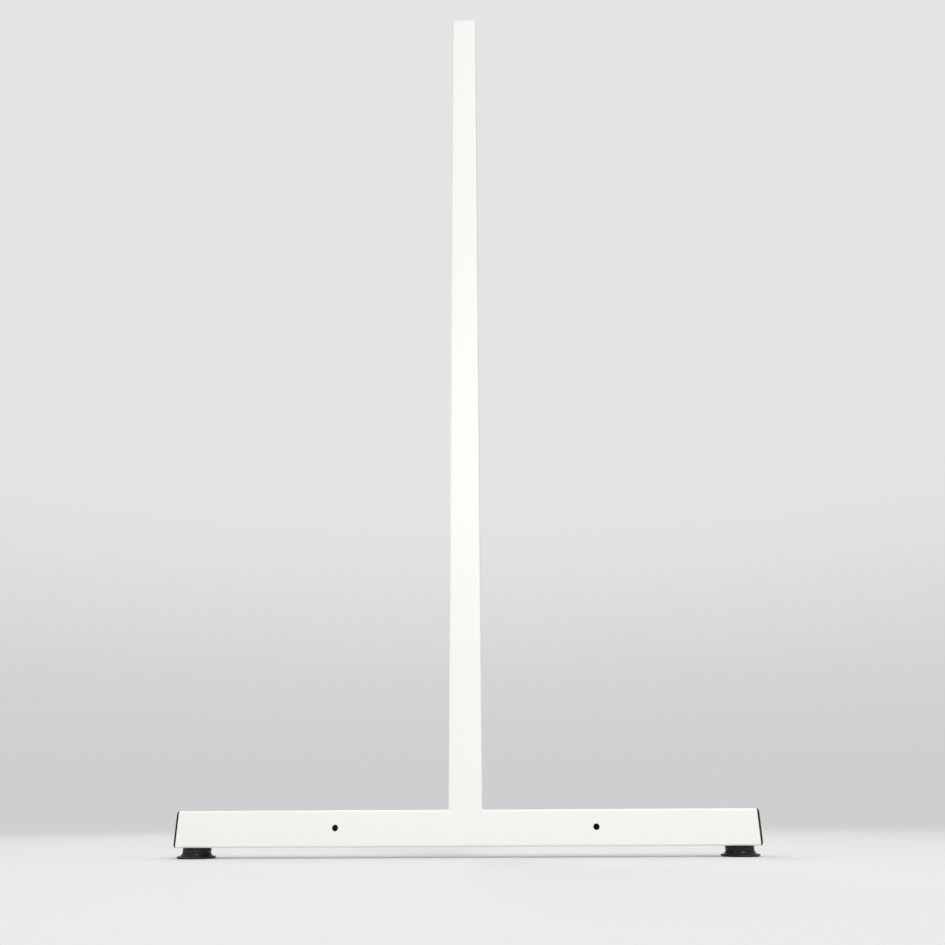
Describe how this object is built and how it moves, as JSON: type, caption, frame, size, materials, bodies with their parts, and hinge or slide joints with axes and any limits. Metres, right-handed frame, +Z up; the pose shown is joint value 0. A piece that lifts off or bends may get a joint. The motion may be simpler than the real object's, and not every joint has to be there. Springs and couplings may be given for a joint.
{
  "type": "partition wall upright",
  "caption": "T-shaped white steel upright of an exhibition partition wall: square post welded on a floor bar, plastic end caps and screw levelling feet.",
  "frame": {"origin": "on the floor, under the centre of the post and of the floor bar", "axes": "+Z up the post, X along the floor bar, -Y out of the face with the two bolt holes, +Y towards the panel"},
  "size_m": [0.86, 0.056, 1.68],
  "materials": {
    "white_powder_coat": "satin powder coat",
    "painted_weld": "satin powder coat over weld metal",
    "black_cap_plastic": "fine moulded texture",
    "white_cap_plastic": "fine moulded texture",
    "black_foot_plastic": "moulded",
    "sole_rubber": "matt",
    "zinc_steel": "bright zinc plate",
    "bare_steel": "turned",
    "black_steel": "black phosphate"
  },
  "bodies": {
    "frame": {"base_tube": "white_powder_coat", "post_tube": "white_powder_coat", "weld_flush": "painted_weld", "weld_fillets": "painted_weld", "post_top_cap": "white_cap_plastic", "base_end_cap_left": "black_cap_plastic", "base_end_cap_right": "black_cap_plastic", "rail_weld_nuts": "black_steel", "panel_rivet_nuts": "zinc_steel", "left_foot_bush": "bare_steel", "right_foot_bush": "bare_steel"},
    "left_foot_plate": {"left_foot_pad": "black_foot_plastic", "left_foot_sole": "sole_rubber"},
    "left_foot_screw": {"left_foot_stud": "zinc_steel", "left_foot_knob": "black_foot_plastic", "left_foot_clip": "zinc_steel"},
    "right_foot_plate": {"right_foot_pad": "black_foot_plastic", "right_foot_sole": "sole_rubber"},
    "right_foot_screw": {"right_foot_stud": "zinc_steel", "right_foot_knob": "black_foot_plastic", "right_foot_clip": "zinc_steel"}
  },
  "joints": [
    {"name": "left_foot_travel", "type": "slide", "parent": "frame", "child": "left_foot_plate", "axis": [0, 0, -1], "range_m": [0, 0.012]},
    {"name": "left_foot_turn", "type": "hinge", "parent": "left_foot_plate", "child": "left_foot_screw", "pos_m": [-0.4, 0, 0.011], "axis": [0, 0, -1], "range_deg": [0, 2880]},
    {"name": "right_foot_travel", "type": "slide", "parent": "frame", "child": "right_foot_plate", "axis": [0, 0, -1], "range_m": [0, 0.012]},
    {"name": "right_foot_turn", "type": "hinge", "parent": "right_foot_plate", "child": "right_foot_screw", "pos_m": [0.4, 0, 0.011], "axis": [0, 0, -1], "range_deg": [0, 2880]}
  ],
  "couplings": [
    {"joint": "left_foot_travel", "follows": "left_foot_turn", "m_per_rad": 0.00023873},
    {"joint": "right_foot_travel", "follows": "right_foot_turn", "m_per_rad": 0.00023873}
  ]
}
